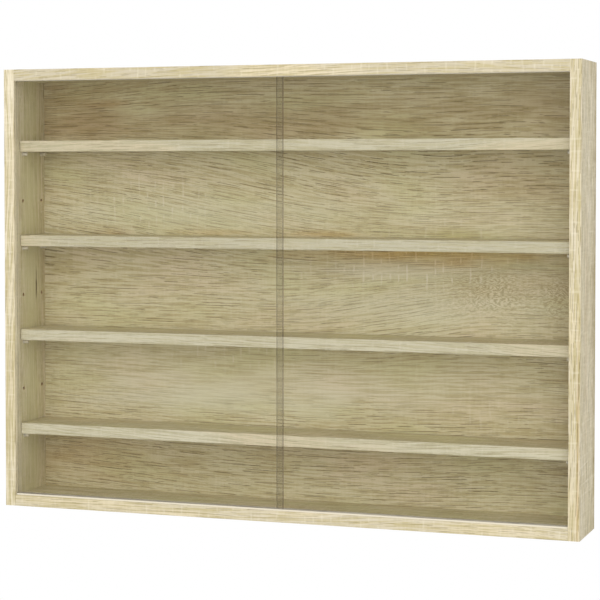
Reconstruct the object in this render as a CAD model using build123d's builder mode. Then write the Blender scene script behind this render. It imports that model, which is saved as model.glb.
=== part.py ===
from build123d import *
import os

# Wall display cabinet: four loose shelves behind two sliding glass doors.
# X runs along the cabinet, Y from its front to the wall and Z up. The origin is the middle
# of the rear face, in the plane of the wall. Every length is in millimetres.

# Overall size
cabinet_width = 800
cabinet_height = 600
cabinet_depth = 95

# Boards
panel = 15
shelf_board = 15
back_board = 3
edge_band = 0.8
band_rounding = 0.6
rebate_width = 6
back_play = 0.25
back_inset = 1

# Shelves
shelf_setback = 17.25
shelf_end_play = 1
shelf_rear_play = 0.75
shelf_seat_gap = 0.3

# Shelf pins and the rows of holes that they plug into
pin_radius = 2.5
pin_peg = 8
pin_reach = 6.8
pin_end_rounding = 0.9
pin_collar_radius = 3.5
pin_collar = 0.7
pin_fit = 0.05
pin_hole_depth = 8.5
pin_inset = 9.75
first_row = 80
row_pitch = 65
row_count = 7
rows_per_shelf = 2

# Sliding doors
glass = 4
glass_arris = 0.4
door_overlap = 11
door_side_play = 0.5
door_seat_gap = 0.2
door_engagement = 3.5

# Double channel tracks let into the top and bottom panels
track_setback = 1.8
track_flange = 0.8
track_flange_height = 0.6
track_wall = 1
track_web = 1.4
track_base = 1
glass_play = 0.5
lower_groove = 3
lower_lip = 2
upper_groove = 8.4
upper_lip = 0.6
lip_rounding = 0.3
groove_fit = 0.1
track_end_play = 0.5

# Corner joints: one cam with its bolt between two dowels
cam_row = 50
cam_distance = 24
cam_radius = 7.4
cam_height = 12
cam_fit = 0.1
cam_pocket = 12.5
cam_cavity_radius = 4.4
cam_cavity_height = 7
cam_mouth = 4.2
cam_recess_length = 7
cam_recess_width = 1.6
cam_recess_depth = 2.5
bolt_thread_radius = 2.5
bolt_thread = 11
bolt_shaft_radius = 3
bolt_shoulder_gap = 0.4
bolt_neck_radius = 1.7
bolt_head_seat = 2.8
bolt_fit = 0.1
dowel_radius = 4
dowel_length = 30
dowel_in_side = 10
dowel_chamfer = 0.8
dowel_fit = 0.05
dowel_end_play = 1
dowel_spread = 22

# Keyhole plates that the cabinet hangs on, flush in the rear edges of the side panels
hanger_length = 45
hanger_width = 12
hanger_plate = 1.5
hanger_inset = 7
hanger_drop = 42.5
hanger_fit = 0.1
keyhole_entry_radius = 4
keyhole_slot_radius = 2.1
keyhole_rise = 8
keyhole_below_centre = 6
keyhole_pocket_radius = 4.3
keyhole_pocket_depth = 7
screw_spread = 17
screw_radius = 1.5
screw_head_radius = 2.8
screw_length = 16
screw_point = 3
screw_recess_length = 3
screw_recess_width = 0.7
screw_recess_depth = 0.9
screw_fit = 0.05

# Nails that hold the back panel
nail_radius = 0.7
nail_length = 18
nail_head_radius = 1.5
nail_head = 0.6
nail_fit = 0.05
nail_columns = 7
nail_end_margin = 25
side_nail_rows = 4
side_nail_top_margin = 145
side_nail_bottom_margin = 65

# Planes that several pieces share
left_out = -cabinet_width / 2
left_in = left_out + panel
inner_width = cabinet_width - 2 * panel
floor_out = -cabinet_height / 2
floor_in = floor_out + panel
ceiling_in = -floor_in
top_mid = -floor_out - panel / 2
front = -cabinet_depth
core_front = front + edge_band
back_front = -back_board
core_depth = back_front - core_front

# Track section, counted from the cabinet's front towards the wall
channel = glass + 2 * glass_play
groove_front = front + track_setback + track_flange
groove_width = 2 * track_wall + track_web + 2 * channel
front_channel = groove_front + track_wall
rear_channel = front_channel + channel + track_web
lower_channel_floor = floor_in - lower_groove + track_base
upper_channel_roof = ceiling_in + upper_groove - track_base

# Door size and travel
door_width = (inner_width + door_overlap) / 2 - door_side_play
door_bottom = lower_channel_floor + door_seat_gap
door_height = ceiling_in - upper_lip + door_engagement - door_bottom
door_travel = inner_width - door_width - 2 * door_side_play
door_lift = upper_channel_roof - door_bottom - door_height

# Shelf size and pin places
shelf_front = front + shelf_setback
shelf_rear = back_front - shelf_rear_play
shelf_length = inner_width - 2 * shelf_end_play
pin_columns = (shelf_front + pin_inset, shelf_rear - pin_inset)
row_heights = [floor_in + first_row + row_pitch * row for row in range(row_count)]
shelf_rows = row_heights[::-rows_per_shelf]

# Places of the joints, seen along X, and of the nails, seen along Y
cam_y = front + cam_row
dowel_spots = [(cam_y - dowel_spread, top_mid), (cam_y + dowel_spread, top_mid)]
cam_spot = (left_in + cam_distance, cam_y)
bolt_shaft = cam_distance - cam_radius - bolt_shoulder_gap
bolt_neck_end = cam_distance - bolt_head_seat
bolt_end = bolt_neck_end + bolt_shaft_radius
hanger_x = left_out + hanger_inset
hanger_z = -floor_out - hanger_drop
keyhole_z = hanger_z - keyhole_below_centre
side_nail_x = left_in - rebate_width / 2
nail_pitch = (inner_width - 2 * nail_end_margin) / (nail_columns - 1)
side_nail_run = cabinet_height - side_nail_top_margin - side_nail_bottom_margin
side_nail_pitch = side_nail_run / (side_nail_rows - 1)
side_nail_drop = (side_nail_top_margin - side_nail_bottom_margin) / 2


# Cutters for the holes that two or more pieces share

with BuildPart() as dowel_holes:
    with BuildSketch(Plane.YZ.offset(left_in - dowel_in_side - dowel_end_play)):
        with Locations(*dowel_spots):
            Circle(dowel_radius + dowel_fit)
    extrude(amount=dowel_length + 2 * dowel_end_play)
    mirror(about=Plane.XY)
    mirror(about=Plane.YZ)

with BuildPart() as bolt_holes:
    with BuildSketch(Plane.YZ.offset(left_in)):
        with Locations((cam_y, top_mid)):
            Circle(bolt_shaft_radius + bolt_fit)
    extrude(amount=cam_distance)
    with BuildSketch(Plane.YZ.offset(left_in)):
        with Locations((cam_y, top_mid)):
            Circle(bolt_thread_radius + bolt_fit)
    extrude(amount=-(bolt_thread + bolt_fit))
    mirror(about=Plane.XY)
    mirror(about=Plane.YZ)

with BuildPart() as cam_pockets:
    with BuildSketch(Plane.XY.offset(-floor_out)):
        with Locations(cam_spot):
            Circle(cam_radius + cam_fit)
    extrude(amount=-cam_pocket)
    mirror(about=Plane.XY)
    mirror(about=Plane.YZ)

with BuildPart() as hanger_pockets:
    with BuildSketch(Plane.XZ):
        with Locations((hanger_x, hanger_z)):
            SlotOverall(hanger_length + 2 * hanger_fit, hanger_width + 2 * hanger_fit, rotation=90)
    extrude(amount=hanger_plate)
    with BuildSketch(Plane.XZ):
        with Locations((hanger_x, keyhole_z + keyhole_rise / 2)):
            SlotCenterToCenter(keyhole_rise, 2 * keyhole_pocket_radius, rotation=90)
    extrude(amount=keyhole_pocket_depth)
    mirror(about=Plane.YZ)


def screw_body(place_z, clearance):
    """A countersunk screw at one height of the left hanger, grown by a clearance."""
    shank = screw_radius + clearance
    head = screw_head_radius + clearance
    tip = screw_length + clearance
    place = Plane(origin=(hanger_x, 0, place_z), x_dir=(1, 0, 0), z_dir=(0, 0, 1))
    with BuildPart() as body:
        with BuildSketch(place):
            with BuildLine():
                Polyline(
                    (0, 0),
                    (head, 0),
                    (shank, shank - head),
                    (shank, screw_point - tip),
                    (0, -tip),
                    close=True,
                )
            make_face()
        revolve(axis=Axis((hanger_x, 0, place_z), (0, 1, 0)))
    return body.part


with BuildPart() as screw_holes:
    add(screw_body(hanger_z - screw_spread, screw_fit))
    add(screw_body(hanger_z + screw_spread, screw_fit))
    mirror(about=Plane.YZ)


def nail_shafts(clearance):
    """All the nails of the back panel, each a shaft with a flat head, grown by a clearance."""
    with BuildPart() as nails:
        sizes = [(nail_radius, nail_length), (nail_head_radius, nail_head)]
        for radius, length in sizes:
            with BuildSketch(Plane.XZ):
                with GridLocations(nail_pitch, 2 * top_mid, nail_columns, 2):
                    Circle(radius + clearance)
                with Locations((0, -side_nail_drop)):
                    with GridLocations(2 * side_nail_x, side_nail_pitch, 2, side_nail_rows):
                        Circle(radius + clearance)
            extrude(amount=length + clearance)
    return nails.part


with BuildPart() as nail_holes:
    add(nail_shafts(nail_fit))


# Carcass: the panels are faced chipboard with a band glued to each front edge

with BuildPart() as side_panel_left:
    with BuildSketch(Plane.XY.offset(floor_out)):
        with BuildLine():
            Polyline(
                (left_out, core_front),
                (left_in, core_front),
                (left_in, back_front),
                (left_in - rebate_width, back_front),
                (left_in - rebate_width, 0),
                (left_out, 0),
                close=True,
            )
        make_face()
    extrude(amount=cabinet_height)
    with Locations(Plane(origin=(left_in, 0, 0), x_dir=(0, 1, 0), z_dir=(1, 0, 0))):
        with Locations(*[(column, row) for column in pin_columns for row in row_heights]):
            Hole(pin_radius + pin_fit, pin_hole_depth)
    add(dowel_holes.part, mode=Mode.SUBTRACT)
    add(bolt_holes.part, mode=Mode.SUBTRACT)
    add(hanger_pockets.part, mode=Mode.SUBTRACT)
    add(screw_holes.part, mode=Mode.SUBTRACT)
    add(nail_holes.part, mode=Mode.SUBTRACT)

with BuildPart() as side_panel_right:
    mirror(side_panel_left.part, about=Plane.YZ)


def grooved_panel(board_bottom, groove_bottom, groove_depth):
    """A panel between the sides, with a groove along its length for a track."""
    with BuildPart() as board:
        with BuildSketch(Plane.YZ.offset(left_in)):
            with Locations((core_front, board_bottom)):
                Rectangle(core_depth, panel, align=(Align.MIN, Align.MIN))
            with Locations((groove_front - groove_fit, groove_bottom)):
                groove = (groove_width + 2 * groove_fit, groove_depth)
                Rectangle(*groove, align=(Align.MIN, Align.MIN), mode=Mode.SUBTRACT)
        extrude(amount=inner_width)
        add(dowel_holes.part, mode=Mode.SUBTRACT)
        add(bolt_holes.part, mode=Mode.SUBTRACT)
        add(cam_pockets.part, mode=Mode.SUBTRACT)
        add(nail_holes.part, mode=Mode.SUBTRACT)
    return board


top_panel = grooved_panel(ceiling_in, ceiling_in, upper_groove + groove_fit)
bottom_panel = grooved_panel(floor_out, floor_in - lower_groove - groove_fit, lower_groove + groove_fit)

with BuildPart() as back_panel:
    with BuildSketch(Plane.XZ):
        Rectangle(
            inner_width + 2 * (rebate_width - back_play),
            cabinet_height - 2 * back_inset,
        )
    extrude(amount=back_board)
    add(hanger_pockets.part, mode=Mode.SUBTRACT)
    add(screw_holes.part, mode=Mode.SUBTRACT)
    add(nail_holes.part, mode=Mode.SUBTRACT)


with BuildPart() as edge_band_left:
    with BuildSketch(Plane.XY.offset(floor_out)):
        with Locations((left_out, front)):
            Rectangle(panel, edge_band, align=(Align.MIN, Align.MIN))
    extrude(amount=cabinet_height)
    fillet(edge_band_left.edges().filter_by(Axis.Z).group_by(Axis.Y)[0], band_rounding)

with BuildPart() as edge_band_right:
    mirror(edge_band_left.part, about=Plane.YZ)


def level_band(bottom, thickness, length, front_y):
    """The band on the front edge of a level board."""
    with BuildPart() as band:
        with BuildSketch(Plane.YZ.offset(-length / 2)):
            with Locations((front_y, bottom)):
                Rectangle(edge_band, thickness, align=(Align.MIN, Align.MIN))
        extrude(amount=length)
        fillet(band.edges().filter_by(Axis.X).group_by(Axis.Y)[0], band_rounding)
    return band


edge_band_top = level_band(ceiling_in, panel, inner_width, front)
edge_band_bottom = level_band(floor_out, panel, inner_width, front)


# Corner fittings

with BuildPart() as corner_dowels:
    with BuildSketch(Plane.YZ.offset(left_in - dowel_in_side)):
        with Locations(*dowel_spots):
            Circle(dowel_radius)
    extrude(amount=dowel_length)
    chamfer(corner_dowels.edges().filter_by(GeomType.CIRCLE), dowel_chamfer)
    mirror(about=Plane.XY)
    mirror(about=Plane.YZ)

with BuildPart() as cam_bolts:
    with BuildSketch(Plane(origin=(left_in, cam_y, top_mid), x_dir=(1, 0, 0), z_dir=(0, -1, 0))):
        with BuildLine():
            Polyline(
                (-bolt_thread, 0),
                (-bolt_thread, bolt_neck_radius),
                (bolt_neck_radius - bolt_thread, bolt_thread_radius),
                (0, bolt_thread_radius),
                (0, bolt_shaft_radius),
                (bolt_shaft, bolt_shaft_radius),
                (bolt_shaft, bolt_neck_radius),
                (bolt_neck_end, bolt_neck_radius),
                (bolt_neck_end, bolt_shaft_radius),
            )
            RadiusArc((bolt_neck_end, bolt_shaft_radius), (bolt_end, 0), bolt_shaft_radius)
            Line((bolt_end, 0), (-bolt_thread, 0))
        make_face()
    revolve(axis=Axis((left_in, cam_y, top_mid), (1, 0, 0)))
    mirror(about=Plane.XY)
    mirror(about=Plane.YZ)

with BuildPart() as cam_locks:
    with BuildSketch(Plane.XY.offset(-floor_out - cam_pocket)):
        with Locations(cam_spot):
            Circle(cam_radius)
    extrude(amount=cam_height)
    with BuildSketch(Plane.XY.offset(top_mid - cam_cavity_height / 2)):
        with Locations(cam_spot):
            Circle(cam_cavity_radius)
    extrude(amount=cam_cavity_height, mode=Mode.SUBTRACT)
    with BuildSketch(Plane.XY.offset(top_mid - cam_mouth / 2)):
        with Locations(cam_spot):
            Rectangle(2 * cam_radius, cam_mouth, align=(Align.MAX, Align.CENTER))
            Rectangle(2 * cam_radius, 2 * cam_radius, align=(Align.MAX, Align.MIN))
    extrude(amount=cam_mouth, mode=Mode.SUBTRACT)
    with BuildSketch(Plane.XY.offset(-floor_out - cam_pocket + cam_height)):
        with Locations(cam_spot):
            Rectangle(cam_recess_length, cam_recess_width, rotation=45)
            Rectangle(cam_recess_length, cam_recess_width, rotation=135)
    extrude(amount=-cam_recess_depth, mode=Mode.SUBTRACT)
    mirror(about=Plane.XY)
    mirror(about=Plane.YZ)


# Wall hangers and the fasteners of the rear

with BuildPart() as hanger_plate_left:
    with BuildSketch(Plane.XZ):
        with Locations((hanger_x, hanger_z)):
            SlotOverall(hanger_length, hanger_width, rotation=90)
        with Locations((hanger_x, keyhole_z)):
            Circle(keyhole_entry_radius, mode=Mode.SUBTRACT)
        with Locations((hanger_x, keyhole_z + keyhole_rise / 2)):
            SlotCenterToCenter(
                keyhole_rise,
                2 * keyhole_slot_radius,
                rotation=90,
                mode=Mode.SUBTRACT,
            )
    extrude(amount=hanger_plate)
    add(screw_holes.part, mode=Mode.SUBTRACT)

with BuildPart() as hanger_plate_right:
    mirror(hanger_plate_left.part, about=Plane.YZ)

with BuildPart() as hanger_screws:
    add(screw_body(hanger_z - screw_spread, 0))
    add(screw_body(hanger_z + screw_spread, 0))
    with BuildSketch(Plane.XZ):
        with Locations((hanger_x, hanger_z - screw_spread), (hanger_x, hanger_z + screw_spread)):
            Rectangle(screw_recess_length, screw_recess_width)
            Rectangle(screw_recess_width, screw_recess_length)
    extrude(amount=screw_recess_depth, mode=Mode.SUBTRACT)
    mirror(about=Plane.YZ)

with BuildPart() as back_nails:
    add(nail_shafts(0))


# Tracks: two channels side by side, with a flange that seats on the face of the panel

def double_track(face, into, lip, groove):
    """A track on a panel's face; into is +1 where the groove runs up and -1 where it runs down."""
    track_length = inner_width - 2 * track_end_play

    def band(start, width, low, high):
        """A rectangle of the section, from start along Y and from low to high above the face."""
        heights = sorted((face - into * low, face - into * high))
        with Locations((start, heights[0])):
            Rectangle(width, heights[1] - heights[0], align=(Align.MIN, Align.MIN))

    with BuildPart() as track:
        with BuildSketch(Plane.YZ.offset(-track_length / 2)) as section:
            band(groove_front, groove_width, -groove, track_base - groove)
            band(groove_front, track_wall, -groove, lip)
            band(front_channel + channel, track_web, -groove, lip)
            band(rear_channel + channel, track_wall, -groove, lip)
            band(groove_front - track_flange, track_flange, 0, track_flange_height)
            band(groove_front + groove_width, track_flange, 0, track_flange_height)
            rim = section.vertices().group_by(Axis.Y)[0 if into > 0 else -1]
            fillet(rim, lip_rounding)
        extrude(amount=track_length)
    return track


upper_track = double_track(ceiling_in, 1, upper_lip, upper_groove)
lower_track = double_track(floor_in, -1, lower_lip, lower_groove)


# Glass doors: the left one runs in the front channel and the right one behind it

def glass_door(left_edge, channel_front):
    """A pane with every edge ground to a small arris."""
    with BuildPart() as pane:
        with BuildSketch(Plane.XY.offset(door_bottom)):
            with Locations((left_edge, channel_front + glass_play)):
                Rectangle(door_width, glass, align=(Align.MIN, Align.MIN))
        extrude(amount=door_height)
        chamfer(pane.edges(), glass_arris)
    return pane


glass_door_left = glass_door(left_in + door_side_play, front_channel)
glass_door_right = glass_door(-left_in - door_side_play - door_width, rear_channel)

pieces = {
    "side_panel_left": side_panel_left,
    "side_panel_right": side_panel_right,
    "top_panel": top_panel,
    "bottom_panel": bottom_panel,
    "back_panel": back_panel,
    "edge_band_left": edge_band_left,
    "edge_band_right": edge_band_right,
    "edge_band_top": edge_band_top,
    "edge_band_bottom": edge_band_bottom,
    "corner_dowels": corner_dowels,
    "cam_bolts": cam_bolts,
    "cam_locks": cam_locks,
    "hanger_plate_left": hanger_plate_left,
    "hanger_plate_right": hanger_plate_right,
    "hanger_screws": hanger_screws,
    "back_nails": back_nails,
    "upper_track": upper_track,
    "lower_track": lower_track,
    "glass_door_left": glass_door_left,
    "glass_door_right": glass_door_right,
}


# Shelves, from the top one down, each on four pins

for number, row in enumerate(shelf_rows, start=1):
    shelf_bottom = row + pin_radius + shelf_seat_gap

    with BuildPart() as shelf:
        with BuildSketch(Plane.YZ.offset(-shelf_length / 2)):
            with Locations((shelf_front + edge_band, shelf_bottom)):
                shelf_core = shelf_rear - shelf_front - edge_band
                Rectangle(shelf_core, shelf_board, align=(Align.MIN, Align.MIN))
        extrude(amount=shelf_length)

    with BuildPart() as pins:
        for column in pin_columns:
            with BuildSketch(Plane(origin=(left_in, column, row), x_dir=(1, 0, 0), z_dir=(0, -1, 0))):
                with BuildLine():
                    Polyline(
                        (-pin_peg, 0),
                        (-pin_peg, pin_radius),
                        (0, pin_radius),
                        (0, pin_collar_radius),
                        (pin_collar, pin_collar_radius),
                        (pin_collar, pin_radius),
                        (pin_collar + pin_reach, pin_radius),
                        (pin_collar + pin_reach, 0),
                        close=True,
                    )
                make_face()
            revolve(axis=Axis((left_in, column, row), (1, 0, 0)))
        ends = pins.edges().filter_by(GeomType.CIRCLE).group_by(Axis.X)[-1]
        fillet(ends, pin_end_rounding)
        mirror(about=Plane.YZ)

    pieces[f"shelf_{number}"] = shelf
    pieces[f"shelf_{number}_edge_band"] = level_band(shelf_bottom, shelf_board, shelf_length, shelf_front)
    pieces[f"shelf_{number}_pins"] = pins


os.makedirs("parts", exist_ok=True)
for name, piece in pieces.items():
    piece.part.label = name
    export_step(piece.part, f"parts/{name}.step")

print(f"door {door_width:.2f} x {door_height:.2f}, travel {door_travel:.2f}, lift {door_lift:.2f}")
print(f"hanging holes {-2 * hanger_x:.2f} apart at height {keyhole_z:.2f}")
print(f"pin columns {pin_columns}, rows {row_heights}")
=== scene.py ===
"""Wall display cabinet: pale oak-look board, loose shelves and two sliding glass doors.

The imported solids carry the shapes. This script gives each of them its finish, and sets the
floor, the light and the camera.
"""
import math

import bpy
import numpy as np
from bpy.props import FloatProperty, FloatVectorProperty, PointerProperty
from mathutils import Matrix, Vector


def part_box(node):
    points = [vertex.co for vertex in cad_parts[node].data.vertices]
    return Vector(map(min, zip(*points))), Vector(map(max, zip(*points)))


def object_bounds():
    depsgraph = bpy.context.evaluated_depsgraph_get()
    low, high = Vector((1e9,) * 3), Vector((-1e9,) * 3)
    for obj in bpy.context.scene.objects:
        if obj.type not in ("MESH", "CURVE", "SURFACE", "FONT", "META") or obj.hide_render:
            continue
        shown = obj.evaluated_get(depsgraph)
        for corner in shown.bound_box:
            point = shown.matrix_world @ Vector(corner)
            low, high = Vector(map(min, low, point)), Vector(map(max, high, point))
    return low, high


bl_info = {
    "name": "Wall display cabinet",
    "version": (1, 0, 0),
    "blender": (4, 5, 0),
    "location": "3D View > Sidebar > Cabinet",
    "description": "Finishes a wall display cabinet in pale oak board, glass, plastic and steel",
    "category": "Object",
}

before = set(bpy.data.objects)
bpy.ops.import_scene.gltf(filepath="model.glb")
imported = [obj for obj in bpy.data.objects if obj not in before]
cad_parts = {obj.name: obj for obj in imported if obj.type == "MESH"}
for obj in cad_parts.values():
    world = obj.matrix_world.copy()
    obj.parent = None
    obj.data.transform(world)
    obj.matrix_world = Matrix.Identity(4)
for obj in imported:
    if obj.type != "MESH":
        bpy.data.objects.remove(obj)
CAD_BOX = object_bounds()

SIDES = ("side_panel_left", "side_panel_right")
SHELVES = ("shelf_1", "shelf_2", "shelf_3", "shelf_4")
FLAT = 0.00005  # how near to a face a point counts as on it, metres
TRACK_RIM = 0.0012  # the outer part of a track on each side, which no door rubs and which gets no painted shade, metres
FRAY = 0.9  # how far noise frays the edge of a stain, as a share of its reach
DECOR_SHEEN = 0.35  # how strongly the decor mirrors, where 0.5 is plain plastic
SHELF_PAINTED_SHADE = 0.84  # painted shade: the shelves' boards darker than the back, for the dimmer light on their tops
SHELF_BAND_SHADES = (0.87, 0.83, 0.92, 0.96)  # the band of each shelf, from the top down
WORN_SHADE = 0.7  # the dark parts of the bare fibreboard
PANE_IOR = 1.22  # low, so that a pane hardly shifts what stands behind it
PANE_PASS = (0.985, 0.985, 0.98, 1.0)  # light that goes straight through a pane
PANE_SMEAR = (0.985, 0.99, 0.985)  # what a smear lets through, against the clean glass
WHITE = (1.0, 1.0, 1.0, 1.0)
FILL_TINT = (1.0, 0.99, 0.97, 1.0)  # the even light from all round is a little warm
LAMP_SIZE = (4.2, 3.2)  # width and height, metres
LAMP_PLACE = (0.60, -2.60, 1.05)  # from the cabinet's middle, metres
CAMERA_PLACE = (0.87303, -2.47394, 0.16166)  # metres
CAMERA_TURN = (math.radians(88.0), 0.0, 0.3402)  # 2 degrees down from level, and to the left
CAMERA_SHIFT = -0.1026  # the lens moved down, as a share of the frame's width
FLOOR_TURNS, FLOOR_RADII = 72, (0.4, 1.2, 2.4, 4.0)  # points on a ring, and the rings, metres
FLOOR_SHADES = ((0.86, 0.86, 0.86), (0.88, 0.88, 0.88))
FLOOR_GLOW = 0.45  # makes the floor white to the camera without lighting the cabinet


def shade(red, green, blue):
    """A screen colour of 0 to 255 as the linear values that a socket takes."""
    parts = np.array((red, green, blue)) / 255.0
    linear = np.where(parts <= 0.04045, parts / 12.92, ((parts + 0.055) / 1.055) ** 2.4)
    return tuple(float(v) for v in linear)


def colour(label, about, red, green, blue):
    return FloatVectorProperty(name=label, description=about, default=shade(red, green, blue),
                               subtype="COLOR", size=3, min=0.0, max=1.0)


def length(label, about, metres):
    return FloatProperty(name=label, description=about, default=metres, min=0.0001,
                         subtype="DISTANCE", unit="LENGTH")


def amount(label, about, value, high=1.0):
    return FloatProperty(name=label, description=about, default=value, min=0.0, max=high,
                         subtype="FACTOR")


# Settings that a user would change


class CABINET_PG_boards(bpy.types.PropertyGroup):
    """The pale oak finish of the boards and what shows at their bare edges."""
    ground: colour("Ground", "Main colour of the oak figure", 225, 217, 184)
    outer: colour("Outer ground", "Creamier ground of the sides and front edges", 238, 227, 200)
    lipping: colour("Shelf edge", "Paler ground of the bands on the shelves", 230, 224, 198)
    lipping_grain: colour("Shelf edge grain", "Growth lines of those bands", 202, 194, 161)
    grain: colour("Grain", "Colour of the darker growth lines", 195, 182, 139)
    flush: colour("Flush", "Pinkish patches in the figure", 227, 214, 183)
    moss: colour("Moss", "Yellow-green patches in the figure", 220, 215, 172)
    pore: colour("Pore", "Colour of the short open pores", 114, 97, 52)
    # a warm stain, on the back also laid on as painted shade in the top and bottom compartments
    rust_and_shade: colour("Rust", "Warm stain laid over the figure", 236, 214, 184)
    leaf: colour("Leaf", "Greenish stain laid over the figure", 226, 222, 176)
    # a brown stain, laid on mostly as painted shade in the compartments and on the left inner wall
    bark_and_shade: colour("Bark", "Brown stain laid over the figure", 224, 217, 203)
    # a warm ochre stain, on the back also laid on as painted shade under the second shelf
    honey_and_shade: colour("Honey", "Warm ochre stain laid over the figure", 250, 226, 174)
    mist: colour("Mist", "Pale grey-green bands that cover the figure", 228, 230, 208)
    # also laid on as painted light at the front of the left inner wall
    tick: colour("Saw tick", "Colour of the pale marks across the grain", 240, 233, 212)
    line_width: length("Line width", "Width of one growth line across the grain", 0.011)
    pore_length: length("Pore length", "Length of one pore along the grain", 0.019)
    pore_width: length("Pore rows", "Distance between two rows of pores", 0.0013)
    tick_gap: length("Tick gap", "Distance between two saw ticks along the grain", 0.0125)
    wander: amount("Wander", "How far the grain runs off straight", 1.0, 3.0)
    pores: amount("Pores", "Strength of the pores", 1.00)
    ticks: amount("Saw ticks", "Strength of the marks across the grain", 0.22)
    chips: colour("Chips", "Light chips in the bare core of a board", 196, 166, 120)
    binder: colour("Binder", "Dark bits in the bare core of a board", 120, 92, 60)
    fibre: colour("Fibreboard", "Bare rear face of the thin back", 134, 101, 68)


class CABINET_PG_fittings(bpy.types.PropertyGroup):
    """Colours of the glass, the plastic tracks and the metal fittings."""
    glass: colour("Glass", "Tint of one pane seen through its faces", 231, 230, 227)
    glass_edge: colour("Glass edge", "Tint of the ground edges of a pane", 176, 168, 172)
    track: colour("Track", "Plastic of the door tracks", 233, 226, 208)
    # grey rubbing in the channels of the tracks, which also stands in as painted shade there
    track_wear_and_shade: colour("Track wear", "Rubbed grey in the channels", 158, 150, 136)
    pin: colour("Shelf pin", "Satin plating of the shelf pins", 234, 227, 208)
    zinc: colour("Zinc", "Bright zinc of screws, bolts, nails and plates", 196, 199, 202)
    cast: colour("Cast zinc", "Dull cast metal of the cam locks", 160, 161, 163)
    beech: colour("Dowel", "Beech of the dowels", 214, 178, 132)


class CABINET_PG_stage(bpy.types.PropertyGroup):
    """The studio: floor, lamps and camera."""
    fill: amount("Fill", "Strength of the even light from all round", 0.64, 2.0)
    key: FloatProperty(name="Key", description="Power of the large lamp at the front",
                       default=61.5, min=0.0, subtype="POWER", unit="POWER")
    drop: length("Floor drop", "How far the floor lies under the cabinet's underside", 1.05)
    lens: FloatProperty(name="Lens", description="Focal length on a 36 mm frame", default=116.44,
                        min=10.0, subtype="DISTANCE_CAMERA", unit="CAMERA")


# Node trees


class Wiring:
    """Places nodes in a tree and joins them, so that a formula reads as one line."""

    def __init__(self, tree):
        self.tree = tree

    def node(self, kind, **settings):
        made = self.tree.nodes.new("ShaderNode" + kind)
        for key, value in settings.items():
            setattr(made, key, value)
        return made

    def find(self, kind):
        """The first node of a kind that the tree has."""
        return next(node for node in self.tree.nodes if node.type == kind)

    def put(self, socket, value):
        if isinstance(value, bpy.types.NodeSocket):
            self.tree.links.new(value, socket)
        elif hasattr(value, "__len__") and len(value) == 3 and socket.type == "RGBA":
            socket.default_value = (*value, 1.0)
        else:
            socket.default_value = value

    def math(self, operation, *values, clamp=False):
        made = self.node("Math", operation=operation, use_clamp=clamp)
        for socket, value in zip(made.inputs, values):
            self.put(socket, value)
        return made.outputs[0]

    def vector(self, operation, *values):
        made = self.node("VectorMath", operation=operation)
        for socket, value in zip(made.inputs, values):
            self.put(socket, value)
        return made.outputs["Value" if operation == "LENGTH" else "Vector"]

    def split(self, vector):
        made = self.node("SeparateXYZ")
        self.put(made.inputs[0], vector)
        return made.outputs

    def join(self, x, y, z):
        made = self.node("CombineXYZ")
        for socket, value in zip(made.inputs, (x, y, z)):
            self.put(socket, value)
        return made.outputs[0]

    def noise(self, position, stretch, detail=1.0, roughness=0.5):
        """Smooth noise between 0 and 1 whose features measure about 1 / stretch on each axis."""
        made = self.node("TexNoise")
        self.put(made.inputs["Vector"], self.vector("MULTIPLY", position, stretch))
        self.put(made.inputs["Scale"], 1.0)
        self.put(made.inputs["Detail"], detail)
        self.put(made.inputs["Roughness"], roughness)
        return made.outputs[0]

    def dashes(self, position, length, pitch, width, start=0.53):
        """Thin dashes: rows of the given pitch across the grain, each cut to lengths by its own
        noise above start. A slower noise moves each dash up or down inside its row, and the
        distance from there over the width gives its soft edge."""
        along, across, depth = self.split(position)
        rows = self.math("DIVIDE", across, pitch)
        place = self.join(self.math("DIVIDE", along, length),
                          self.math("MULTIPLY", self.math("FLOOR", rows), 7.3),
                          self.math("MULTIPLY", depth, 30.0))
        cut = self.step(self.noise(place, (1.0, 1.0, 1.0), 1.0), start, start + 0.05)
        drift = self.math("SUBTRACT", self.noise(place, (0.4, 1.7, 1.0), 0.0), 0.5)
        off = self.math("SUBTRACT", self.math("FRACT", rows), 0.5)
        off = self.math("SUBTRACT", off, self.math("MULTIPLY", drift, 1.1))
        far = self.math("MULTIPLY", self.math("ABSOLUTE", off), self.math("DIVIDE", pitch, width))
        return self.math("MULTIPLY", cut, self.step(far, 0.65, 0.25))

    def step(self, value, low, high, start=0.0, end=1.0):
        """Rises smoothly from start to end as value goes from low to high."""
        made = self.node("MapRange", interpolation_type="SMOOTHSTEP")
        for label, v in (("Value", value), ("From Min", low), ("From Max", high),
                         ("To Min", start), ("To Max", end)):
            self.put(made.inputs[label], v)
        return made.outputs["Result"]

    def blend(self, factor, first, second, mode="MIX"):
        made = self.node("Mix", data_type="RGBA", blend_type=mode)
        self.put(made.inputs["Factor"], factor)
        self.put(made.inputs[6], first)
        self.put(made.inputs[7], second)
        return made.outputs[2]

    def place(self, group, **values):
        made = self.node("Group", node_tree=group)
        for label, value in values.items():
            self.put(made.inputs[label.replace("_", " ").capitalize()], value)
        return made.outputs


def new_group(name, inputs, outputs):
    """A shader node group with named sockets: its wiring, its inputs and its outputs. Each input
    has a name, a kind and a default, and each output a name and a kind."""
    tree = bpy.data.node_groups.new(name, "ShaderNodeTree")
    for label, kind, default in inputs:
        socket = tree.interface.new_socket(name=label, in_out="INPUT",
                                           socket_type="NodeSocket" + kind)
        socket.default_value = default
    for label, kind in outputs:
        tree.interface.new_socket(name=label, in_out="OUTPUT", socket_type="NodeSocket" + kind)
    given = tree.nodes.new("NodeGroupInput").outputs
    return Wiring(tree), given, tree.nodes.new("NodeGroupOutput").inputs


GREY = (0.5, 0.5, 0.5, 1.0)


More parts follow.
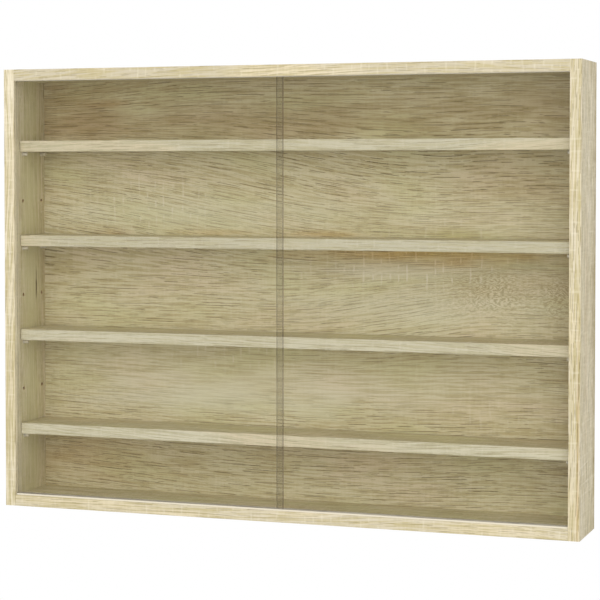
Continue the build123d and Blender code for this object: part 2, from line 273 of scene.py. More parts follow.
def oak_figure():
    """Group: rough-sawn pale oak as a decor paper prints it. Position holds the places along the
    grain, across it and into the board.

    The place across the grain is shifted by soft noises and by Drift, so that every line bends
    with it. Streaks, hairs, veins and pores are noise stretched along the grain, each finer than
    the last. Growth lines are the fraction of the shifted place over the line width. Saw ticks
    are the narrow peak of a sawtooth along the grain, cut to lengths by noise. Curl puts short
    bent scales in place of the straight marks.
    """
    # how far each noise moves the grain, in metres
    bend_by, sway_by, ripple_by = 0.05, 0.0022, 0.012
    # how dark each kind of mark gets
    in_streaks, in_rings, in_hairs, in_marks, in_bands = 0.12, 0.10, 0.72, 0.11, 0.16
    # how much of the straight marks a full Curl takes away, and how strong its scales are
    curl_clears, curl_scales = 0.75, 0.30
    w, given, made = new_group("Oak figure", (
        ("Position", "Vector", (0.0, 0.0, 0.0)),
        ("Ground", "Color", GREY), ("Grain", "Color", GREY), ("Flush", "Color", GREY),
        ("Moss", "Color", GREY), ("Pore", "Color", GREY), ("Tick", "Color", GREY),
        ("Line width", "Float", 0.011), ("Pore length", "Float", 0.02),
        ("Pore width", "Float", 0.001), ("Tick gap", "Float", 0.0125), ("Wander", "Float", 1.0),
        ("Pores", "Float", 0.75), ("Ticks", "Float", 0.6), ("Drift", "Float", 0.0),
        ("Curl", "Float", 0.0),
    ), (("Color", "Color"), ("Roughness", "Float"), ("Height", "Float")))
    at = given["Position"]
    # grain that wanders off straight, and short ripples where it curls
    bend = w.math("SUBTRACT", w.noise(at, (1.9, 1.4, 1.4), 0.0), 0.5)
    sway = w.math("SUBTRACT", w.noise(at, (9.0, 20.0, 6.0), 2.0), 0.5)
    ripple = w.math("SUBTRACT", w.noise(at, (130.0, 110.0, 20.0), 0.0), 0.5)
    off = w.math("ADD", w.math("MULTIPLY", bend, bend_by), w.math("MULTIPLY", sway, sway_by))
    off = w.math("ADD", w.math("MULTIPLY", given["Wander"], off), given["Drift"])
    ripple = w.math("MULTIPLY", ripple, given["Curl"])
    off = w.math("ADD", off, w.math("MULTIPLY", ripple, ripple_by))
    p = w.vector("ADD", at, w.join(0.0, off, 0.0))
    across = w.split(p)[1]
    # from the broadest bands to the finest hairs
    broad = w.noise(p, (2.6, 24.0, 6.0), 2.0)
    streak = w.noise(p, (5.5, 130.0, 20.0), 3.0, 0.6)
    hair = w.noise(p, (15.0, 440.0, 30.0), 2.0, 0.75)
    rise = w.math("ADD", w.math("DIVIDE", across, given["Line width"]),
                  w.math("MULTIPLY", broad, 4.0))
    rings = w.step(w.math("FRACT", rise), 0.0, 0.8, 1.0, 0.0)
    # long fine veins and short open pores, in the growth lines more than between them
    crowd = w.math("ADD", streak, w.math("MULTIPLY", rings, 0.08))
    long, wide = given["Pore length"], given["Pore width"]
    veins = w.dashes(p, w.math("MULTIPLY", long, 2.4), w.math("MULTIPLY", wide, 3.4),
                     w.math("MULTIPLY", wide, 0.52), 0.52)
    veins = w.math("MULTIPLY", veins, w.step(broad, 0.38, 0.60, 0.75, 1.0))
    pores = w.dashes(p, long, w.math("MULTIPLY", wide, 1.7), w.math("MULTIPLY", wide, 0.42))
    pores = w.math("MULTIPLY", pores, w.step(crowd, 0.36, 0.66, 0.45, 0.8))
    # where the grain curls, short bent scales take the place of the straight marks
    straight = w.math("SUBTRACT", 1.0, w.math("MULTIPLY", given["Curl"], curl_clears))
    scales = w.step(w.noise(p, (210.0, 520.0, 20.0), 1.0), 0.47, 0.57)
    scales = w.math("MULTIPLY", scales, given["Curl"])
    pores = w.math("MULTIPLY", w.math("MAXIMUM", pores, veins), straight)
    pores = w.math("MAXIMUM", pores, w.math("MULTIPLY", scales, curl_scales))
    # pale ticks across the grain
    teeth = w.math("FRACT", w.math("ADD", w.math("DIVIDE", w.split(at)[0], given["Tick gap"]),
                                   w.noise(at, (24.0, 12.0, 12.0), 0.0)))
    peak = w.step(w.math("ABSOLUTE", w.math("SUBTRACT", teeth, 0.5)), 0.15, 0.02)
    cut = w.step(w.noise(at, (95.0, 80.0, 10.0), 0.0), 0.46, 0.64)
    ticks = w.math("MULTIPLY", peak, cut)
    # colours
    hue = w.noise(p, (5.0, 17.0, 5.0), 1.0)
    base = w.blend(w.step(hue, 0.50, 0.66), given["Ground"], given["Flush"])
    base = w.blend(w.step(hue, 0.50, 0.34), base, given["Moss"])
    rings = w.math("MULTIPLY", rings, w.step(broad, 0.40, 0.64, 0.0, in_rings))
    dark = w.math("ADD", w.step(streak, 0.36, 0.72, 0.0, in_streaks), rings)
    hairs = w.math("MULTIPLY", w.step(hair, 0.44, 0.59, 0.0, in_hairs), straight)
    dark = w.math("ADD", dark, hairs)
    marks = w.noise(at, (310.0, 34.0, 10.0), 0.0)
    dark = w.math("ADD", dark, w.step(marks, 0.35, 0.65, 0.0, in_marks))
    dark = w.math("ADD", dark, w.step(broad, 0.42, 0.70, 0.0, in_bands))
    dark = w.math("ADD", dark, scales, clamp=True)
    out = w.blend(dark, base, given["Grain"])
    out = w.blend(w.math("MULTIPLY", pores, given["Pores"]), out, given["Pore"])
    out = w.blend(w.math("MULTIPLY", ticks, given["Ticks"]), out, given["Tick"])
    w.put(made["Color"], out)
    w.put(made["Roughness"], w.math("ADD", 0.50, w.math("MULTIPLY", dark, 0.12)))
    w.put(made["Height"], w.math("SUBTRACT", w.math("MULTIPLY", hair, 0.35), pores))
    return w.tree


def board_core():
    """Group: the bare core of chipboard. Cells of the chip size, each with its own shade, and
    finer noise over them for the dust and the binder."""
    w, given, made = new_group("Board core", (
        ("Position", "Vector", (0.0, 0.0, 0.0)), ("Chips", "Color", GREY),
        ("Binder", "Color", GREY), ("Chip size", "Float", 0.0022),
    ), (("Color", "Color"), ("Height", "Float")))
    size = w.math("DIVIDE", 1.0, given["Chip size"])
    at = w.vector("MULTIPLY", given["Position"], w.join(size, size, size))
    coarse = w.node("TexVoronoi", feature="F1")
    w.put(coarse.inputs["Vector"], at)
    w.put(coarse.inputs["Scale"], 1.0)
    w.put(coarse.inputs["Randomness"], 1.0)
    tone = w.split(coarse.outputs["Color"])[0]
    dust = w.noise(at, (2.7, 2.7, 2.7), 2.0, 0.7)
    mask = w.math("ADD", w.math("MULTIPLY", tone, 0.6), w.math("MULTIPLY", dust, 0.5))
    out = w.blend(w.step(mask, 0.55, 0.95), given["Chips"], given["Binder"])
    w.put(made["Color"], out)
    w.put(made["Height"], w.math("SUBTRACT", 0.0, w.math("ADD", mask, coarse.outputs["Distance"])))
    return w.tree


def metal_wear():
    """Group: plated metal. Fine noise for the crystals and stretched noise for the marks."""
    w, given, made = new_group("Metal wear", (
        ("Position", "Vector", (0.0, 0.0, 0.0)), ("Metal", "Color", GREY),
        ("Grain size", "Float", 0.0015), ("Least roughness", "Float", 0.3),
    ), (("Color", "Color"), ("Roughness", "Float"), ("Height", "Float")))
    size = w.math("DIVIDE", 1.0, given["Grain size"])
    at = w.vector("MULTIPLY", given["Position"], w.join(size, size, size))
    crystal = w.noise(at, (1.0, 1.0, 1.0), 3.0, 0.65)
    rub = w.noise(at, (0.12, 2.6, 0.7), 2.0)
    dull = w.vector("MULTIPLY", given["Metal"], (0.72, 0.73, 0.75))
    w.put(made["Color"], w.blend(w.step(crystal, 0.40, 0.66), given["Metal"], dull))
    dulled = w.step(rub, 0.40, 0.70, 0.0, 0.20)
    w.put(made["Roughness"], w.math("ADD", given["Least roughness"], dulled))
    w.put(made["Height"], w.math("ADD", crystal, w.math("MULTIPLY", rub, 0.5)))
    return w.tree


def group(name, maker):
    """The named group, built the first time that it is asked for."""
    return bpy.data.node_groups.get(name) or maker()


def new_material(name):
    """A node material with a Principled shader: its wiring, the shader and Object coordinates."""
    material = bpy.data.materials.new(name)
    material.use_nodes = True
    material.node_tree.nodes.clear()
    w = Wiring(material.node_tree)
    shader = w.node("BsdfPrincipled")
    output = w.node("OutputMaterial")
    material.node_tree.links.new(shader.outputs[0], output.inputs["Surface"])
    return material, w, shader, w.node("TexCoord").outputs["Object"]


def bump(w, shader, height, distance, strength):
    """Raises the surface by height, where 1 stands for the distance in metres."""
    made = w.node("Bump")
    w.put(made.inputs["Height"], height)
    made.inputs["Strength"].default_value = strength
    made.inputs["Distance"].default_value = distance
    w.put(shader.inputs["Normal"], made.outputs[0])


def dress(material, *names):
    """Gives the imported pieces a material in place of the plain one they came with."""
    for name in names:
        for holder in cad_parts[name].material_slots:
            holder.material = material


def between(w, value, low, high):
    """1 where value lies inside low and high by more than FLAT, else 0."""
    return w.math("MULTIPLY", w.math("GREATER_THAN", value, low + FLAT),
                  w.math("LESS_THAN", value, high - FLAT))


def oak(name, looks, order, shift=(0.0, 0.0, 0.0), core=None, ends=None, stains_and_painted_light=(), sawn=(),
        calm=(), **changes):
    """A board's material. order names the axes along the grain, across it and into the board,
    shift moves the figure, and core is (axis, low, high): between those two decor faces the bare
    core shows, but not at the banded ends, given in the same way. The last three list places:
    stains, with painted shade and painted light among them, colour the figure, sawn ones have
    more saw ticks and calm ones weaker pores. changes are values that take the place of those in
    looks, under the same names."""
    material, w, shader, at = new_material(name)
    position = w.vector("ADD", w.join(*(w.split(at)["XYZ".index(axis)] for axis in order)), shift)
    values = {key: getattr(looks, key) for key in (
        "ground", "grain", "flush", "moss", "pore", "tick", "line_width", "pore_length",
        "pore_width", "tick_gap", "wander", "pores", "ticks")}
    values.update(changes)
    ragged = fraying(w, at) if stains_and_painted_light or sawn or calm else None
    for label, places, sign in (("ticks", sawn, 1.0), ("pores", calm, -1.0)):
        for middle, reach, more in places:
            more = w.math("MULTIPLY", near(w, at, middle, reach, ragged), sign * more)
            values[label] = w.math("ADD", values[label], more)
    figure = w.place(group("Oak figure", oak_figure), position=position, **values)
    out, height = stain(w, at, figure["Color"], stains_and_painted_light, looks, ragged), figure["Height"]
    if core:
        axis, low, high = core
        inside = between(w, w.split(at)["XYZ".index(axis)], low, high)
        if ends:
            axis, low, high = ends
            within = between(w, w.split(at)["XYZ".index(axis)], low, high)
            inside = w.math("MULTIPLY", inside, within)
        bare = w.place(group("Board core", board_core), position=at,
                       chips=looks.chips, binder=looks.binder)
        out = w.blend(inside, out, bare["Color"])
        height = w.math("ADD", height, w.math("MULTIPLY", inside, bare["Height"]))
    w.put(shader.inputs["Base Color"], out)
    w.put(shader.inputs["Roughness"], figure["Roughness"])
    shader.inputs["Specular IOR Level"].default_value = DECOR_SHEEN
    bump(w, shader, height, distance=0.00012, strength=0.35)
    return material


def metal(name, tone, roughness, grain_size=0.0015, metallic=1.0):
    """A plated metal's material: its colour, least roughness and size of grain in metres."""
    material, w, shader, at = new_material(name)
    made = w.place(group("Metal wear", metal_wear), position=at, metal=tone,
                   grain_size=grain_size, least_roughness=roughness)
    w.put(shader.inputs["Base Color"], made["Color"])
    w.put(shader.inputs["Roughness"], made["Roughness"])
    shader.inputs["Metallic"].default_value = metallic
    bump(w, shader, made["Height"], distance=0.00004, strength=0.4)
    return material


def on_back(x, z, wide, high):
    """A place on the back: its middle, and its reach to each side along X, Y and Z."""
    return (x, 0.0, z), (wide, 0.05, high)


def on_side(x, y, z, wide, high):
    """A place on the face of a side panel that stands at x: its middle and its reach."""
    return (x, y, z), (0.01, wide, high)


# Where a board's figure stands out, and where shade and light are painted on it: a place in
# metres, the colour laid there, and the strength
COVERS = ("tick", "moss", "mist")  # colours that hide the figure under them, as pale marks and, on the left inner wall, as painted light
BACK_CURLS = (
    on_back(0.262, 0.0, 0.095, 0.05),
    on_back(0.352, -0.004, 0.04, 0.045),
)
# the back's sloping grain: from and to along X, the middle and reach in Z, and how far it drops
BACK_SLOPES = (
    (-0.55, 0.25, 0.13, 0.15, 0.105),
    (-0.05, 0.28, -0.02, 0.1, -0.032),
)
BACK_SAWN = (
    (*on_back(0.17, 0.035, 0.22, 0.052), 0.6),
    (*on_back(0.21, 0.085, 0.07, 0.02), 0.25),
    (*on_back(-0.22, 0.115, 0.14, 0.06), 0.4),
    (*on_back(0.25, -0.16, 0.09, 0.03), 0.22),
    (*on_back(-0.1, -0.09, 0.13, 0.035), 0.3),
)
BACK_CALM = (
    (*on_back(0.16, -0.12, 0.32, 0.065), 0.75),
    (*on_back(-0.16, -0.11, 0.32, 0.075), 0.7),
    (*on_back(-0.3, 0.02, 0.3, 0.06), 0.45),
    (*on_back(0.2, 0.24, 0.4, 0.06), 0.45),
)
BACK_STAINS_AND_PAINTED_SHADE = (
    # warm ochre stain and painted shade along the top of the third compartment, under the second
    # shelf
    (*on_back(0.17, 0.051, 0.28, 0.024), "honey_and_shade", 0.95),
    # painted shade down the right end of the back, beside the right side
    (*on_back(0.385, -0.05, 0.045, 0.4), "bark_and_shade", 0.75),
    (*on_back(0.12, 0.03, 0.13, 0.02), "tick", 0.35),
    # painted shade, warm, at the left end of the top compartment
    (*on_back(-0.34, 0.245, 0.17, 0.08), "rust_and_shade", 0.35),
    (*on_back(-0.32, -0.24, 0.17, 0.065), "rust_and_shade", 0.5),
    (*on_back(-0.283, 0.255, 0.06, 0.01), "rust_and_shade", 0.5),
    (*on_back(-0.28, 0.073, 0.05, 0.012), "rust_and_shade", 0.6),
    (*on_back(0.208, 0.08, 0.05, 0.01), "leaf", 0.5),
    (*on_back(-0.26, -0.197, 0.16, 0.012), "leaf", 0.6),
    # warm stain and painted shade along the top of the bottom compartment, under the lowest shelf
    (*on_back(0.05, -0.225, 0.45, 0.022), "rust_and_shade", 0.2),
    # painted shade: the top compartment darker under the top panel, and the right and left ends of
    # the two upper compartments
    (*on_back(-0.1, 0.226, 0.7, 0.046), "bark_and_shade", 1.0),
    (*on_back(-0.1, 0.255, 0.8, 0.07), "bark_and_shade", 0.35),
    (*on_back(0.33, 0.15, 0.2, 0.07), "bark_and_shade", 0.6),
    (*on_back(0.34, 0.248, 0.2, 0.06), "bark_and_shade", 0.6),
    (*on_back(-0.34, 0.245, 0.14, 0.08), "bark_and_shade", 0.4),
    (*on_back(0.0, -0.085, 0.5, 0.02), "leaf", 0.1),
    (*on_back(-0.16, 0.102, 0.3, 0.036), "mist", 0.28),
    (*on_back(0.2, 0.098, 0.28, 0.034), "mist", 0.1),
    (*on_back(0.17, -0.023, 0.33, 0.048), "mist", 0.28),
    (*on_back(-0.12, -0.155, 0.34, 0.03), "mist", 0.3),
    (*on_back(-0.13, 0.0765, 0.1, 0.008), "honey_and_shade", 0.4),
    (*on_back(0.03, 0.076, 0.1, 0.008), "honey_and_shade", 0.5),
    (*on_back(-0.06, -0.137, 0.34, 0.035), "tick", 0.35),
)
SIDE_SAWN = (
    (*on_side(0.4, -0.05, -0.215, 0.05, 0.04), 0.5),
)
SIDE_STAINS_AND_PAINTED_LIGHT = (
    # a darker olive stripe down the rear of the right side's outer face
    (*on_side(0.4, 0.0, 0.0, 0.03, 1.0), "bark_and_shade", 1.0),
    (*on_side(0.4, 0.002, 0.0, 0.013, 1.5), "leaf", 1.0),
    (*on_side(0.4, -0.06, -0.05, 0.02, 0.3), "rust_and_shade", 0.2),
    # painted light: a paler strip at the front of the left inner wall, next to the pane
    (*on_side(-0.385, -0.086, 0.0, 0.013, 1.0), "tick", 0.6),
    (*on_side(-0.385, -0.045, 0.0, 0.05, 1.2), "moss", 0.75),
    (*on_side(-0.385, -0.0295, 0.001, 0.0032, 0.03), "pore", 1.0),
    # painted shade towards the rear of the left inner wall
    (*on_side(-0.385, -0.008, 0.0, 0.018, 1.0), "bark_and_shade", 0.2),
)
STILE_STAINS = (
    ((0.397, -0.095, -0.2), (0.0022, 0.01, 0.26), "rust_and_shade", 0.6),
    ((0.3975, -0.095, 0.1), (0.002, 0.01, 0.24), "leaf", 0.45),
)


def fraying(w, at):
    """Noise for the edges of stains, between about minus and plus half of FRAY."""
    ragged = w.math("SUBTRACT", w.noise(at, (14.0, 60.0, 60.0), 1.0), 0.5)
    return w.math("MULTIPLY", ragged, FRAY)


def near(w, at, middle, reach, ragged):
    """1 at the middle, falling smoothly to 0 at the reach, with an edge frayed by ragged."""
    far = w.vector("LENGTH", w.vector("DIVIDE", w.vector("SUBTRACT", at, middle), reach))
    return w.step(w.math("ADD", far, ragged), 1.0, 0.0)


def stain(w, at, face, stains_and_painted_light, looks, ragged):
    """Lays each stain, painted shade and painted light over a colour: the COVERS hide it, and the
    others darken it as a glaze.
    """
    for middle, reach, tone, strength in stains_and_painted_light:
        spot = w.math("MULTIPLY", near(w, at, middle, reach, ragged), strength)
        mode = "MIX" if tone in COVERS else "MULTIPLY"
        face = w.blend(spot, face, tuple(getattr(looks, tone)), mode)
    return face


# Operators: one for each piece or group of like pieces


class CABINET_OT_panels(bpy.types.Operator):
    """Finish the sides, top and bottom in oak decor with bare core at their hidden edges"""
    bl_idname = "cabinet.panels"
    bl_label = "Panels"

    def execute(self, context):
        looks = context.scene.cabinet_boards
        for name, shift in zip(SIDES, ((0.31, 0.0, 0.0), (1.93, 0.35, 0.0))):
            low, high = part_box(name)
            dress(oak(name, looks, "ZYX", shift, ("X", low[0], high[0]), ("Z", low[2], high[2]),
                      SIDE_STAINS_AND_PAINTED_LIGHT, SIDE_SAWN, ground=looks.outer, moss=looks.outer), name)
        for name, shift in (("top_panel", (3.1, 0.2, 0.7)), ("bottom_panel", (5.7, 0.9, 0.1))):
            low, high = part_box(name)
            dress(oak(name, looks, "XYZ", shift, ("Z", low[2], high[2])), name)
        return {"FINISHED"}


class CABINET_OT_back(bpy.types.Operator):
    """Finish the thin back: oak decor inside, bare fibreboard behind"""
    bl_idname = "cabinet.back"
    bl_label = "Back"

    def execute(self, context):
        looks = context.scene.cabinet_boards
        material = oak("back_panel", looks, "XZY", stains_and_painted_light=BACK_STAINS_AND_PAINTED_SHADE, sawn=BACK_SAWN,
                       calm=BACK_CALM, ticks=0.08)
        w = Wiring(material.node_tree)
        shader, figure = w.find("BSDF_PRINCIPLED"), w.find("GROUP").inputs
        at = w.find("TEX_COORD").outputs["Object"]
        drift = 0.0
        for start, end, middle, reach, drop in BACK_SLOPES:
            far = w.math("ABSOLUTE", w.math("SUBTRACT", w.split(at)[2], middle))
            lean = w.step(w.split(at)[0], start, end, -drop / 2, drop / 2)
            drift = w.math("ADD", drift, w.math("MULTIPLY", lean, w.step(far, reach, 0.0)))
        ragged = fraying(w, at)
        curls = (near(w, at, middle, reach, ragged) for middle, reach in BACK_CURLS)
        w.put(figure["Drift"], drift)
        w.put(figure["Curl"], w.math("MAXIMUM", *curls))
        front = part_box("back_panel")[0][1]
        behind = w.math("GREATER_THAN", w.split(at)[1], front + FLAT)
        felted = w.noise(at, (900.0, 900.0, 900.0), 3.0, 0.7)
        worn = tuple(v * WORN_SHADE for v in looks.fibre)
        bare = w.blend(w.step(felted, 0.38, 0.66), tuple(looks.fibre), worn)
        cloud = w.noise(at, (7.0, 7.0, 7.0), 3.0, 0.6)
        bare = w.blend(w.step(cloud, 0.38, 0.64, 0.0, 0.45), bare, worn)
        face = shader.inputs["Base Color"].links[0].from_socket
        w.put(shader.inputs["Base Color"], w.blend(behind, face, bare))
        dress(material, "back_panel")
        return {"FINISHED"}


class CABINET_OT_edge_bands(bpy.types.Operator):
    """Finish the edge bands on the front of the cabinet"""
    bl_idname = "cabinet.edge_bands"
    bl_label = "Edge bands"

    def execute(self, context):
        looks = context.scene.cabinet_boards
        for name, order, shift, tone, pores in (
                ("edge_band_left", "ZXY", (7.3, 0.4, 0.2), 1.0, 0.48),
                ("edge_band_right", "ZXY", (8.9, 0.7, 0.9), 0.84, 0.80),
                ("edge_band_top", "XZY", (10.1, 0.3, 0.5), 0.74, 0.60),
                ("edge_band_bottom", "XZY", (11.7, 0.8, 0.6), 0.81, 0.60)):
            ground = tuple(v * tone for v in looks.outer)
            dress(oak(name, looks, order, shift, stains_and_painted_light=STILE_STAINS, ground=ground,
                      moss=ground, pores=pores), name)
        return {"FINISHED"}


class CABINET_OT_shelves(bpy.types.Operator):
    """Finish the four shelves and the bands on their front edges"""
    bl_idname = "cabinet.shelves"
    bl_label = "Shelves"

    def execute(self, context):
        looks = context.scene.cabinet_boards
        for number, (name, tone) in enumerate(zip(SHELVES, SHELF_BAND_SHADES)):
            low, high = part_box(name)
            shift = (13.0 + 1.7 * number, 0.23 * number, 0.5)
            # painted shade: the shelf's board darker than the other boards
            ground = tuple(v * SHELF_PAINTED_SHADE for v in looks.ground)
            dress(oak(name, looks, "XYZ", shift, ("Z", low[2], high[2]), ground=ground), name)
            shift = (21.0 + 1.3 * number, 0.31 * number, 0.2)
            ground = tuple(v * tone for v in looks.lipping)
            dress(oak(name + "_edge_band", looks, "XZY", shift, ground=ground,
                      moss=ground, grain=looks.lipping_grain, ticks=0.14, pores=0.50),
                  name + "_edge_band")
        return {"FINISHED"}


class CABINET_OT_shelf_pins(bpy.types.Operator):
    """Finish the steel shelf pins"""
    bl_idname = "cabinet.shelf_pins"
    bl_label = "Shelf pins"

    def execute(self, context):
        looks = context.scene.cabinet_fittings
        steel = metal("pin_steel_bright", looks.pin, roughness=0.22, grain_size=0.002,
                      metallic=0.15)
        dress(steel, *(name + "_pins" for name in SHELVES))
        return {"FINISHED"}


class CABINET_OT_tracks(bpy.types.Operator):
    """Finish the white plastic tracks, grey in the channels as rubbing and as painted shade"""
    bl_idname = "cabinet.tracks"
    bl_label = "Door tracks"

    def execute(self, context):
        looks = context.scene.cabinet_fittings
        for name in ("upper_track", "lower_track"):
            material, w, shader, at = new_material(name + "_plastic")
            low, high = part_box(name)
            place = w.split(at)
            channel = between(w, place[1], low[1] + TRACK_RIM, high[1] - TRACK_RIM)
            channel = w.math("MULTIPLY", channel, between(w, place[2], low[2], high[2]))
            drawn = w.noise(at, (3.0, 2200.0, 2200.0), 1.0)
            cloud = w.noise(at, (22.0, 160.0, 160.0), 2.0)
            # rubbing and painted shade: the channels greyed, while the rims and the top and bottom
            # faces stay white
            rubbed_and_shaded = w.math("MULTIPLY", channel, w.step(cloud, 0.35, 0.65, 0.60, 0.95))
            out = w.blend(rubbed_and_shaded, looks.track, looks.track_wear_and_shade)
            w.put(shader.inputs["Base Color"], out)
            w.put(shader.inputs["Roughness"], w.step(drawn, 0.3, 0.7, 0.34, 0.48))
            bump(w, shader, drawn, distance=0.00005, strength=0.3)
            dress(material, name)
        return {"FINISHED"}


class CABINET_OT_doors(bpy.types.Operator):
    """Glaze the two sliding doors"""
    bl_idname = "cabinet.doors"
    bl_label = "Glass doors"

    def execute(self, context):
        looks = context.scene.cabinet_fittings
        polished = tuple((a + 2 * b) / 3 for a, b in zip(looks.glass_edge, looks.glass))
        for name, tint in (("glass_door_left", looks.glass_edge), ("glass_door_right", polished)):
            self.pane(name, looks, tint)
        return {"FINISHED"}

    def pane(self, name, looks, tint):
        """Clear through its two faces, and tinted at the edges between them. The end that stands
        close to a side is left clear, so that it doesn't mirror the dark gap."""
        material, w, shader, at = new_material(name + "_pane")
        low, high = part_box(name)
        edge = between(w, w.split(at)[1], low[1], high[1])
        smear = w.noise(at, (9.0, 9.0, 4.0), 2.0)
        clear = w.blend(w.step(smear, 0.45, 0.7, 0.0, 0.5), looks.glass,
                        w.vector("MULTIPLY", looks.glass, PANE_SMEAR))
        w.put(shader.inputs["Base Color"], w.blend(edge, clear, tint))
        shader.inputs["Transmission Weight"].default_value = 1.0
        shader.inputs["Metallic"].default_value = 0.0
        shader.inputs["Roughness"].default_value = 0.0
        shader.inputs["IOR"].default_value = PANE_IOR
        through = w.node("BsdfTransparent")
        through.inputs[0].default_value = PANE_PASS
        ray = w.node("LightPath").outputs
        passing = w.math("MAXIMUM", ray["Is Shadow Ray"], ray["Is Diffuse Ray"])
        x = w.split(at)[0]
        outer_end = (w.math("LESS_THAN", x, low[0] + FLAT) if low[0] + high[0] < 0.0
                     else w.math("GREATER_THAN", x, high[0] - FLAT))
        passing = w.math("MAXIMUM", passing, outer_end)
        mix = w.node("MixShader")
        w.put(mix.inputs[0], passing)
        w.put(mix.inputs[1], shader.outputs[0])
        w.put(mix.inputs[2], through.outputs[0])
        w.put(w.find("OUTPUT_MATERIAL").inputs["Surface"], mix.outputs[0])
        dress(material, name)


class CABINET_OT_corner_fittings(bpy.types.Operator):
    """Finish the dowels, cam bolts and cam locks at the corners"""
    bl_idname = "cabinet.corner_fittings"
    bl_label = "Corner fittings"

    def execute(self, context):
        looks = context.scene.cabinet_fittings
        dress(metal("cam_cast", looks.cast, roughness=0.45, grain_size=0.0008), "cam_locks")
        dress(metal("bolt_zinc", looks.zinc, roughness=0.30), "cam_bolts")
        material, w, shader, at = new_material("dowel_beech")
        fleck = w.noise(at, (90.0, 900.0, 900.0), 1.0)
        soft = w.noise(at, (20.0, 200.0, 200.0), 2.0)
        pale = w.vector("MULTIPLY", looks.beech, (1.05, 1.06, 1.08))
        brown = w.vector("MULTIPLY", looks.beech, (0.62, 0.52, 0.44))
        out = w.blend(w.step(soft, 0.35, 0.65), looks.beech, pale)
        w.put(shader.inputs["Base Color"], w.blend(w.step(fleck, 0.60, 0.70), out, brown))
        shader.inputs["Roughness"].default_value = 0.62
        bump(w, shader, fleck, distance=0.0001, strength=0.3)
        dress(material, "corner_dowels")
        return {"FINISHED"}


class CABINET_OT_wall_fittings(bpy.types.Operator):
    """Finish the keyhole plates, their screws and the nails of the back"""
    bl_idname = "cabinet.wall_fittings"
    bl_label = "Wall fittings"

    def execute(self, context):
        looks = context.scene.cabinet_fittings
        plate = metal("plate_zinc", looks.zinc, roughness=0.34, grain_size=0.004)
        dress(plate, "hanger_plate_left", "hanger_plate_right")
        screw = metal("screw_zinc", looks.zinc, roughness=0.26, grain_size=0.0012)
        dress(screw, "hanger_screws", "back_nails")
        return {"FINISHED"}


def lamp(name, power, size, place, aim):
    """A soft rectangular lamp at place whose face looks at aim. It can't be seen itself."""
    light = bpy.data.lights.new(name, "AREA")
    light.shape = "RECTANGLE"
    (light.size, light.size_y), light.energy = size, power
    holder = bpy.data.objects.new(name, light)
    bpy.context.scene.collection.objects.link(holder)
    holder.location = place
    holder.rotation_euler = Vector(np.subtract(aim, place)).to_track_quat("-Z", "Y").to_euler()
    holder.visible_camera = holder.visible_glossy = holder.visible_transmission = False


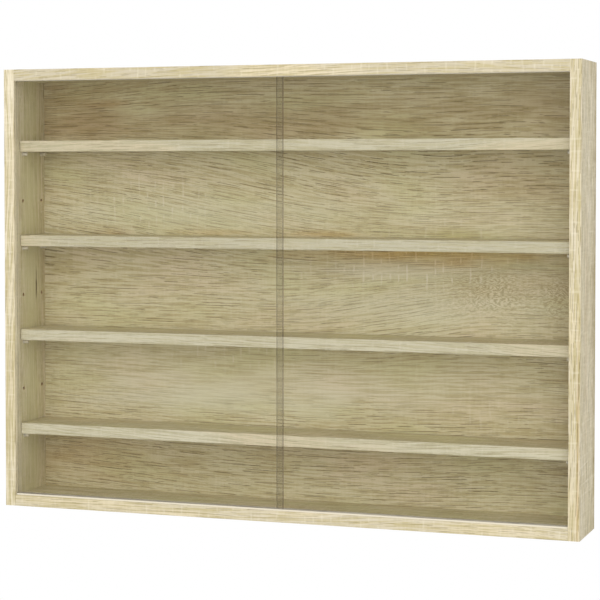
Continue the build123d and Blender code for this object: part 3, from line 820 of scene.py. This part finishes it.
class CABINET_OT_stage(bpy.types.Operator):
    """Set the floor, the light, the white surround and the camera"""
    bl_idname = "cabinet.stage"
    bl_label = "Stage"

    def execute(self, context):
        scene, looks = context.scene, context.scene.cabinet_stage
        scene.view_settings.view_transform = "Standard"
        self.surround(scene, looks)
        self.floor(looks)
        middle = np.mean(CAD_BOX, axis=0)
        lamp("key", looks.key, LAMP_SIZE, middle + LAMP_PLACE, middle)
        camera = bpy.data.cameras.new("camera")
        camera.sensor_fit, camera.sensor_width = "HORIZONTAL", 36.0
        camera.lens, camera.shift_x, camera.shift_y = looks.lens, 0.0, CAMERA_SHIFT
        camera.clip_start, camera.clip_end = 0.05, 100.0
        holder = bpy.data.objects.new("camera", camera)
        scene.collection.objects.link(holder)
        holder.location = CAMERA_PLACE
        holder.rotation_euler = CAMERA_TURN
        scene.camera = holder
        return {"FINISHED"}

    def surround(self, scene, looks):
        """A world that is white to the camera and in reflections, and dimmer as light."""
        world = bpy.data.worlds.new("studio")
        scene.world = world
        world.use_nodes = True
        world.node_tree.nodes.clear()
        w = Wiring(world.node_tree)
        soft, white, mix = w.node("Background"), w.node("Background"), w.node("MixShader")
        soft.inputs[0].default_value = FILL_TINT
        soft.inputs[1].default_value = looks.fill
        white.inputs[0].default_value = WHITE
        white.inputs[1].default_value = 1.0
        w.put(mix.inputs[0], seen(w))
        w.put(mix.inputs[1], soft.outputs[0])
        w.put(mix.inputs[2], white.outputs[0])
        w.put(w.node("OutputWorld").inputs[0], mix.outputs[0])

    def floor(self, looks):
        """A disc: rings of points at growing radius, on a grid of angle and radius, closed at the
        middle by the first ring's own face."""
        low = CAD_BOX[0][2] - looks.drop
        turns, radii = FLOOR_TURNS, FLOOR_RADII
        angle = np.linspace(0.0, 2.0 * math.pi, turns, endpoint=False)
        ring = np.stack((np.cos(angle), np.sin(angle), np.zeros(turns)), axis=1)
        points = np.concatenate([ring * r for r in radii]) + (0.0, 0.0, low)
        here = np.arange(turns * (len(radii) - 1))
        after = here - here % turns + (here + 1) % turns
        faces = np.stack((here, here + turns, after + turns, after), axis=1).tolist()
        mesh = bpy.data.meshes.new("floor")
        mesh.from_pydata(points.tolist(), [], faces + [list(range(turns))])
        piece = bpy.data.objects.new("floor", mesh)
        bpy.context.scene.collection.objects.link(piece)
        material, w, shader, at = new_material("floor_paper")
        cloud = w.noise(at, (1.5, 1.5, 1.5), 2.0)
        w.put(shader.inputs["Base Color"], w.blend(cloud, *FLOOR_SHADES))
        shader.inputs["Roughness"].default_value = 0.9
        glow, both = w.node("Emission"), w.node("AddShader")
        glow.inputs[0].default_value = WHITE
        w.put(glow.inputs[1], w.math("MULTIPLY", seen(w), FLOOR_GLOW))
        w.put(both.inputs[0], shader.outputs[0])
        w.put(both.inputs[1], glow.outputs[0])
        w.put(w.find("OUTPUT_MATERIAL").inputs["Surface"], both.outputs[0])
        mesh.materials.append(material)


def seen(w):
    """1 for a ray that comes from the camera, a reflection or through glass."""
    ray = w.node("LightPath").outputs
    return w.math("MAXIMUM", ray["Is Camera Ray"],
                  w.math("MAXIMUM", ray["Is Glossy Ray"], ray["Is Transmission Ray"]))


STEPS = (CABINET_OT_panels, CABINET_OT_back, CABINET_OT_edge_bands, CABINET_OT_shelves,
         CABINET_OT_shelf_pins, CABINET_OT_tracks, CABINET_OT_doors, CABINET_OT_corner_fittings,
         CABINET_OT_wall_fittings, CABINET_OT_stage)
SETTINGS = {"cabinet_boards": CABINET_PG_boards, "cabinet_fittings": CABINET_PG_fittings,
            "cabinet_stage": CABINET_PG_stage}


class CABINET_PT_sidebar(bpy.types.Panel):
    """Lists the settings and the steps in the 3D view's sidebar"""
    bl_idname = "CABINET_PT_sidebar"
    bl_label = "Wall display cabinet"
    bl_space_type = "VIEW_3D"
    bl_region_type = "UI"
    bl_category = "Cabinet"

    def draw(self, context):
        for attribute, settings in SETTINGS.items():
            box = self.layout.box()
            for name in settings.__annotations__:
                box.prop(getattr(context.scene, attribute), name)
        for step in STEPS:
            self.layout.operator(step.bl_idname)


def register():
    for kind in (*SETTINGS.values(), *STEPS, CABINET_PT_sidebar):
        bpy.utils.register_class(kind)
    for attribute, settings in SETTINGS.items():
        setattr(bpy.types.Scene, attribute, PointerProperty(type=settings))


def unregister():
    for attribute in SETTINGS:
        delattr(bpy.types.Scene, attribute)
    for kind in reversed((*SETTINGS.values(), *STEPS, CABINET_PT_sidebar)):
        bpy.utils.unregister_class(kind)


def main():
    register()
    for step in STEPS:
        area, name = step.bl_idname.split(".")
        getattr(getattr(bpy.ops, area), name)()


if __name__ == "__main__":
    main()
